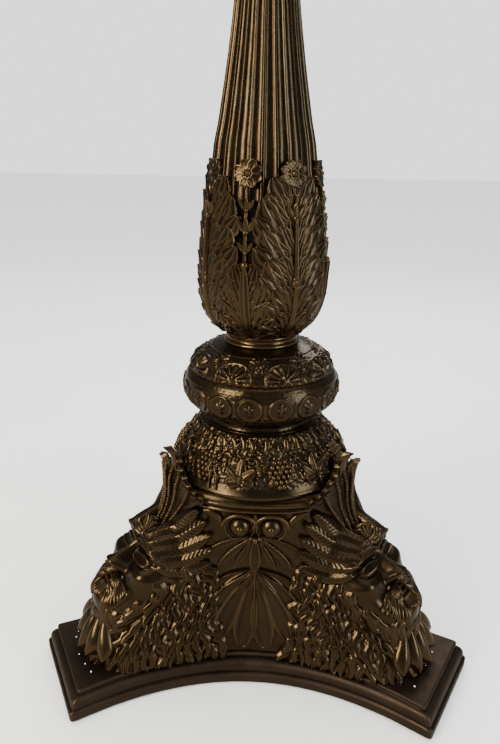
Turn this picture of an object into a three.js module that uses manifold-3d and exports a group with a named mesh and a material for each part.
// A cast bronze torchiere floor lamp on a three-cornered plinth, in millimetres, +Z up.
// The column's axis is the Z axis, the floor is z = 0 and one corner of the plinth points along +Y.
import * as THREE from "three";
import { mergeVertices } from "three/addons/utils/BufferGeometryUtils.js";
import Module from "manifold-3d";

const wasm = await Module();
wasm.setup();

// Driving dimensions of the base.
const cornerReach = 280; // from the axis to the cut face of a plinth corner
const cornerHalfWidth = 70; // half the length of that cut face
const sideReach = 128; // from the axis to the middle of a hollow side of the plinth
const baseBottom = 3; // thickness of the felt board under the plinth
const plinthTop = 37;
const bodyTop = 244;
const wall = 6; // casting thickness
const gap = 0.3; // clearance between two castings that touch
const rodRadius = 6.5;
const rodHole = 8; // the hole in each casting that the rod runs through
const corners = [90, 210, 330]; // directions of the three corners, in degrees
const sides = [30, 150, 270]; // directions of the three hollow sides
const turn = Math.PI / 180;

const bronze = new THREE.MeshStandardMaterial({ color: 0x4a3a22, roughness: 0.38, metalness: 0.95 });
const steel = new THREE.MeshStandardMaterial({ color: 0x9a9a98, roughness: 0.4, metalness: 1 });
const brass = new THREE.MeshStandardMaterial({ color: 0xb08d4a, roughness: 0.3, metalness: 1 });
const felt = new THREE.MeshStandardMaterial({ color: 0x24382b, roughness: 0.95, metalness: 0 });
const opal = new THREE.MeshStandardMaterial({ color: 0xf2eee2, roughness: 0.25, metalness: 0 });
const porcelain = new THREE.MeshStandardMaterial({ color: 0xe9e6dc, roughness: 0.3, metalness: 0 });
const rubber = new THREE.MeshStandardMaterial({ color: 0x1c1b1a, roughness: 0.8, metalness: 0 });

const lamp = new THREE.Group();

function add(name, geometry, material) {
  const mesh = new THREE.Mesh(geometry, material);
  mesh.name = name;
  lamp.add(mesh);
  return mesh;
}

// A solid turned about Z from a closed outline of [radius, height] points.
function turned(name, outline, material, segments = 20) {
  const area = outline.reduce((sum, [r, z], i) => {
    const [r2, z2] = outline[(i + 1) % outline.length];
    return sum + r * z2 - r2 * z;
  }, 0);
  const ordered = area < 0 ? [...outline].reverse() : outline;
  const points = [...ordered, ordered[0]].map(([r, z]) => new THREE.Vector2(r, z));
  return add(name, new THREE.LatheGeometry(points, segments).rotateX(Math.PI / 2), material);
}

// A turned casting of even wall: the outer outline from bottom to top, and a bore for the rod.
function shell(name, outer, material, { thickness = wall, floor = wall, roof = wall } = {}) {
  const [low, high] = [outer[0][1], outer[outer.length - 1][1]];
  const inner = outer
    .filter(([, z], i) => z > low + floor && z < high - roof && i % 2 === 0)
    .map(([r, z]) => [r - thickness, z]);
  const reach = (z) => radiusAt(outer, z) - thickness;
  return turned(
    name,
    [
      [rodHole, low], ...outer, [rodHole, high], [rodHole, high - roof],
      [reach(high - roof), high - roof], ...inner.reverse(), [reach(low + floor), low + floor], [rodHole, low + floor],
    ],
    material,
  );
}

// The radius of an outline of [radius, height] points at a height.
function radiusAt(outline, z) {
  for (let i = 1; i < outline.length; i++) {
    const [[r0, z0], [r1, z1]] = [outline[i - 1], outline[i]];
    if (z <= z1) return r0 + ((r1 - r0) * Math.max(0, z - z0)) / Math.max(1e-6, z1 - z0);
  }
  return outline[outline.length - 1][0];
}

// A solid lofted through rings of equally many points. The rings close on each other, or the two ends
// are closed by a fan from the axis or by strips that run across them.
function loft(rings, ends) {
  const count = rings[0].length;
  const positions = rings.flat(2);
  const faces = [];
  const quad = (a, b, c, d) => faces.push(a, b, c, a, c, d);
  const spans = ends === "ring" ? rings.length : rings.length - 1;
  for (let i = 0; i < spans; i++) {
    const [low, high] = [i * count, ((i + 1) % rings.length) * count];
    for (let j = 0; j < count; j++) {
      const k = (j + 1) % count;
      quad(low + j, low + k, high + k, high + j);
    }
  }
  const top = (rings.length - 1) * count;
  if (ends === "fan") {
    positions.push(0, 0, rings[0][0][2], 0, 0, rings[rings.length - 1][0][2]);
    for (let j = 0; j < count; j++) {
      const k = (j + 1) % count;
      faces.push(rings.length * count, k, j, rings.length * count + 1, top + j, top + k);
    }
  }
  if (ends === "strips") {
    for (let j = 0; j < count / 2 - 1; j++) {
      quad(j, count - 1 - j, count - 2 - j, j + 1);
      quad(top + j, top + j + 1, top + count - 2 - j, top + count - 1 - j);
    }
  }
  const geometry = new THREE.BufferGeometry();
  geometry.setAttribute("position", new THREE.Float32BufferAttribute(positions, 3));
  geometry.setIndex(faces);
  return geometry.toNonIndexed();
}

// A closed geometry as a solid for cutting.
function solid(geometry) {
  const bare = geometry.clone();
  bare.deleteAttribute("normal");
  bare.deleteAttribute("uv");
  const merged = mergeVertices(bare, 1e-4);
  return new wasm.Manifold(
    new wasm.Mesh({ numProp: 3, vertProperties: merged.attributes.position.array, triVerts: merged.index.array }),
  );
}

// Cuts one geometry out of a mesh.
function cut(mesh, cutter) {
  const result = solid(mesh.geometry).subtract(solid(cutter)).getMesh();
  const geometry = new THREE.BufferGeometry();
  geometry.setAttribute("position", new THREE.Float32BufferAttribute(result.vertProperties, 3));
  geometry.setIndex(Array.from(result.triVerts));
  mesh.geometry = geometry.toNonIndexed();
}

const polar = (radius, degrees, z) => [radius * Math.cos(degrees * turn), radius * Math.sin(degrees * turn), z];

// The plinth's outline at one height: three cut corners joined by hollow arcs, moved in by an inset.
function plinthRing(inset, z, steps = 8) {
  const ring = [];
  corners.forEach((direction) => {
    const [along, across] = [new THREE.Vector2(1, 0), new THREE.Vector2(0, 1)];
    [along, across].forEach((v) => v.rotateAround(new THREE.Vector2(), direction * turn));
    const reach = cornerReach - inset;
    const half = cornerHalfWidth - inset * 0.55;
    const start = along.clone().multiplyScalar(reach).addScaledVector(across, half);
    const next = new THREE.Vector2(1, 0).rotateAround(new THREE.Vector2(), (direction + 120) * turn);
    const nextAcross = new THREE.Vector2(0, 1).rotateAround(new THREE.Vector2(), (direction + 120) * turn);
    const end = next.multiplyScalar(reach).addScaledVector(nextAcross, -half);
    const middle = start.clone().add(end).multiplyScalar(0.5);
    const sag = middle.length() - (sideReach - inset);
    const inward = middle.clone().normalize().negate();
    for (let i = 0; i <= steps; i++) {
      const t = i / steps;
      const p = start.clone().lerp(end, t).addScaledVector(inward, sag * 4 * t * (1 - t));
      ring.push([p.x, p.y, z]);
    }
  });
  return ring;
}

// The board under the plinth that carries the felt.
function feltBoard() {
  add("felt_board", loft([plinthRing(6, 0), plinthRing(6, baseBottom - gap)], "fan"), felt);
}

// A rod lying square to the plinth's side wall where the flex comes in.
function inletRod(radius, length) {
  const rod = new THREE.CylinderGeometry(radius, radius, length, 16).rotateX(Math.PI / 2).rotateZ(-60 * turn);
  return rod.translate(...polar(sideReach - 4, 30, 10));
}

// The plinth: bottom fillet, ovolo, hollow and top plate, open underneath.
function plinth() {
  const outside = [
    [0, baseBottom], [0, 15], [4, 17], [7, 20], [7, 24], [12, 29], [16, 30], [16, 31], [13, 31.5], [13, plinthTop],
  ];
  const hole = (z) => plinthRing(0, z).map(([x, y]) => {
    const angle = Math.atan2(y, x);
    return [rodHole * Math.cos(angle), rodHole * Math.sin(angle), z];
  });
  const rings = outside.map(([inset, z]) => plinthRing(inset, z));
  rings.push(hole(plinthTop), hole(plinthTop - wall), plinthRing(22, plinthTop - wall), plinthRing(10, 14));
  rings.push(plinthRing(8, baseBottom));
  const casting = add("plinth", loft(rings, "ring"), bronze);
  cut(casting, inletRod(6 + gap, 40));
}

// How far the tripod body reaches in a direction at a height; extra is added everywhere.
const sideLine = [[108, plinthTop], [106, 70], [104, 120], [102, 180], [101, 215], [103, 232], [104, bodyTop]];
const cornerLine = [[196, plinthTop], [186, 70], [152, 110], [130, 150], [116, 190], [110, 232], [108, bodyTop]];
function bodyRadius(degrees, z, corner = cornerLine) {
  const [low, high] = [radiusAt(sideLine, z), radiusAt(corner, z)];
  const lobe = (1 + Math.cos(3 * (degrees - 90) * turn)) / 2;
  return low + (high - low) * lobe ** 2.2;
}

const bodyHeights = [plinthTop + gap, 70, 110, 150, 190, 232, bodyTop - gap];
function bodyRing(z, radius) {
  return Array.from({ length: 36 }, (_, i) => polar(radius(i * 10), i * 10, z));
}

function tripodBody() {
  const [low, roof] = [bodyHeights[0], bodyTop - gap];
  const outer = bodyHeights.map((z) => bodyRing(z, (a) => bodyRadius(a, z)));
  const inner = bodyHeights.slice(1, -1).reverse().map((z) => bodyRing(z, (a) => bodyRadius(a, z) - wall));
  const rings = [...outer, bodyRing(roof, () => rodHole), bodyRing(roof - wall, () => rodHole)];
  rings.push(bodyRing(roof - wall, (a) => bodyRadius(a, roof) - wall), ...inner);
  rings.push(bodyRing(low, (a) => bodyRadius(a, low) - wall));
  add("tripod_body", loft(rings, "ring"), bronze);
}

// The body as a full solid with clearance, for fitting the castings that lie on it.
function bodyCore() {
  const heights = [plinthTop - 5, ...bodyHeights, bodyTop + gap];
  return loft(heights.map((z) => bodyRing(z, (a) => bodyRadius(a, Math.max(z, bodyHeights[0])) + gap)), "fan");
}

// A casting that lies on the outside of the body between two directions and through several heights.
function overlay(name, middle, spread, heights, inside, outside, steps = 6) {
  const rings = heights.map((z) => {
    const half = typeof spread === "function" ? spread(z) : spread;
    const angles = Array.from({ length: steps + 1 }, (_, i) => middle - half + (2 * half * i) / steps);
    const out = angles.map((a) => polar(outside(a, z, (a - middle) / half), a, z));
    const inn = [...angles].reverse().map((a) => polar(inside(a, z), a, z));
    return [...out, ...inn];
  });
  cut(add(name, loft(rings, "strips"), bronze), bodyCore());
}

// The three bearded masks, each a relief casting over a corner of the body.
const maskLine = [[240, plinthTop + gap], [238, 60], [218, 90], [190, 130], [168, 165], [150, 195]];
function masks() {
  corners.forEach((direction, i) => {
    const heights = [plinthTop + gap, 60, 90, 130, 165, 195];
    overlay(
      `mask_${i + 1}`, direction, (z) => 34 - (z - plinthTop) * 0.04, heights,
      (a, z) => bodyRadius(a, z) - 3,
      (a, z, across) => bodyRadius(a, z) + 5 + (radiusAt(maskLine, z) - bodyRadius(direction, z) - 5) * Math.max(0, 1 - across ** 2) ** 0.8,
      8,
    );
  });
}

// The shell crests over the masks, flaring to a point beside the drum.
const crestInside = [[125, 195.6], [117, 215], [116.5, bodyTop], [117, 262], [127, 293]];
function crests() {
  corners.forEach((direction, i) => {
    overlay(
      `shell_crest_${i + 1}`, direction, (z) => (z < bodyTop ? 22 : 22 - (z - bodyTop) * 0.38),
      [195.6, 215, bodyTop - 0.6, bodyTop - 0.1, 268, 293],
      (a, z) => (z < bodyTop - 0.3 ? bodyRadius(a, Math.min(z, bodyTop)) - 3 : radiusAt(crestInside, z)),
      (a, z, across) => Math.max(radiusAt(crestInside, z), bodyRadius(a, Math.min(z, bodyTop)) + gap) + 11 - 5 * across ** 2,
    );
  });
}

// The palmettes and the paired scrolls on the three hollow sides.
function sidePanels() {
  sides.forEach((direction, i) => {
    const skin = (a, z) => bodyRadius(a, z);
    const under = (a, z) => skin(a, z) - 3;
    overlay(`palmette_${i + 1}`, direction, (z) => 24 - (z - 40) * 0.07, [38, 80, 120, 160, 196], under, (a, z) => skin(a, z) + 5);
    overlay(`scroll_pair_${i + 1}`, direction, 27, [197, 212, 226], under, (a, z) => skin(a, z) + 10 - (z - 197) * 0.12, 8);
  });
}

// The drum with vine relief, its foot ring, and the knop in two halves.
const drumLine = [[108, bodyTop + 7], [113, 252], [114, 260], [108, 272], [101, 283], [91, 296], [83, 306], [74, 316]];
const knopLowLine = [[66, 316.3], [64, 322], [70, 328], [80, 332], [89, 341], [95, 350], [97, 362], [94, 372], [89, 377]];
const knopHighLine = [[87, 377.3], [84, 387], [74, 397], [64, 403], [54, 409], [46, 414]];
function lowerColumn() {
  turned("body_ring", [[rodHole, bodyTop], [111, bodyTop], [112, 247], [109, 250.7], [rodHole, 250.7]], bronze);
  shell("vine_drum", drumLine, bronze);
  shell("knop_lower", knopLowLine, bronze);
  shell("knop_upper", knopHighLine, bronze);
  turned("collar", [[rodHole, 414.3], [43, 414.3], [45, 417], [43, 421], [38, 424], [37, 427], [rodHole, 427]], bronze);
}

// The fluted baluster stem and the pieces above it.
const stemLine = [
  [38, 427.3], [47, 434], [56, 441.5], [63, 449], [71, 464], [74.5, 486], [74.5, 508], [72.5, 536], [68, 570], [63, 603],
  [58, 630], [52, 667], [42.2, 727], [34.8, 783], [33, 806],
];
const upperKnopLine = [[28, 822.3], [31, 830], [41, 842], [44, 852], [40, 862], [30, 870], [27, 876]];
const shaftLine = [[27, 876.3], [31, 890], [32, 930], [28, 980], [24, 1100], [20, 1300], [18.5, 1388]];
const capitalLine = [[21, 1402.3], [22, 1420], [27, 1450], [38, 1475], [52, 1490], [56, 1494], [56, 1502]];
function upperColumn() {
  shell("fluted_stem", stemLine, bronze);
  turned("stem_ring", [[rodHole, 806.3], [36, 806.3], [39, 811], [39, 816], [34, 822], [rodHole, 822]], bronze, 16);
  shell("upper_knop", upperKnopLine, bronze, { thickness: 5 });
  shell("upper_shaft", shaftLine, bronze, { thickness: 5 });
  turned("shaft_ring", [[rodHole, 1388.3], [21, 1388.3], [25, 1393], [25, 1397], [21, 1402], [rodHole, 1402]], bronze, 16);
  shell("capital", capitalLine, bronze, { thickness: 5 });
}

// The light: a bronze gallery that holds an opal bowl, the lamp holder with its turn switch, and the bulb.
const galleryFloor = 1512;
function light() {
  turned(
    "gallery",
    [
      [rodHole, 1502.3], [46, 1502.3], [60, 1510], [76, 1524], [88, 1540], [93, 1546], [89, 1546], [81.5, 1537],
      [70.5, 1524], [56, galleryFloor], [rodHole, galleryFloor],
    ],
    bronze, 24,
  );
  turned(
    "opal_bowl",
    [
      [38, 1512.4], [54, 1512.4], [69.5, 1525], [80, 1538], [110, 1570], [142, 1612], [168, 1664], [180, 1705], [185, 1712],
      [180, 1714], [175, 1707], [163, 1666], [137, 1615], [105, 1574], [74, 1541], [64, 1528], [52, 1517.5], [38, 1517.5],
    ],
    opal, 24,
  );
  turned("lock_nut", [[rodHole, 1512.4], [15, 1512.4], [15, 1519], [rodHole, 1519]], brass, 6);
  turned("holder_cup", [[rodRadius + gap, 1519.4], [17, 1519.4], [19, 1523], [19, 1534], [rodRadius + gap, 1534]], brass, 16);
  turned("lamp_holder", [[5, 1540.6], [20, 1540.6], [20, 1578], [15.5, 1578], [15.5, 1549], [5, 1549]], porcelain, 16);
  turned("switch_body", [[0.01, 1534.4], [19.5, 1534.4], [19.5, 1540.2], [0.01, 1540.2]], porcelain, 16);
  turned("bulb_cap", [[0.01, 1550], [6, 1550], [13.2, 1555], [13.2, 1576], [0.01, 1576]], brass, 16);
  turned(
    "bulb",
    [
      [0.01, 1576.3], [14.6, 1576.3], [15, 1586], [20, 1600], [28, 1616], [30, 1629], [27, 1645], [18, 1656], [0.01, 1660],
    ],
    opal, 16,
  );
}

// The turn key of the switch, on a spindle along X.
function switchKey() {
  const key = new THREE.CylinderGeometry(1.6, 1.6, 6, 10).rotateZ(Math.PI / 2).translate(23.2, 0, 1537.3);
  add("switch_spindle", key, brass);
  const knob = new THREE.CylinderGeometry(4.5, 4, 7, 12).rotateZ(Math.PI / 2).translate(30, 0, 1537.3);
  add("switch_key", knob, rubber);
}

// What the lamp holds inside: the tube that ties it together, its nuts, the flex in it and the inlet at the back.
function innards() {
  turned("tie_tube", [[5, 8], [rodRadius, 8], [rodRadius, 1530], [5, 1530]], steel, 16);
  turned("base_washer", [[rodRadius + gap, 27], [26, 27], [26, 30.7], [rodRadius + gap, 30.7]], steel, 20);
  turned("base_nut", [[rodHole, 15], [14, 15], [14, 26.7], [rodHole, 26.7]], steel, 6);
  turned("inner_flex", [[0.01, 9], [3.4, 9], [3.4, 1529], [0.01, 1529]], rubber, 8);
  corners.forEach((direction, i) => {
    const [x, y] = polar(150, direction, 0);
    const bolt = new THREE.CylinderGeometry(7, 7, 5, 6).rotateX(Math.PI / 2).translate(x, y, 28);
    add(`body_bolt_${i + 1}`, bolt, steel);
  });
  const bush = new THREE.Mesh(inletRod(6, 14));
  cut(bush, inletRod(3.8, 40));
  add("flex_inlet_bush", bush.geometry, rubber);
}

feltBoard();
plinth();
tripodBody();
masks();
crests();
sidePanels();
lowerColumn();
upperColumn();
light();
switchKey();
innards();

export default lamp;
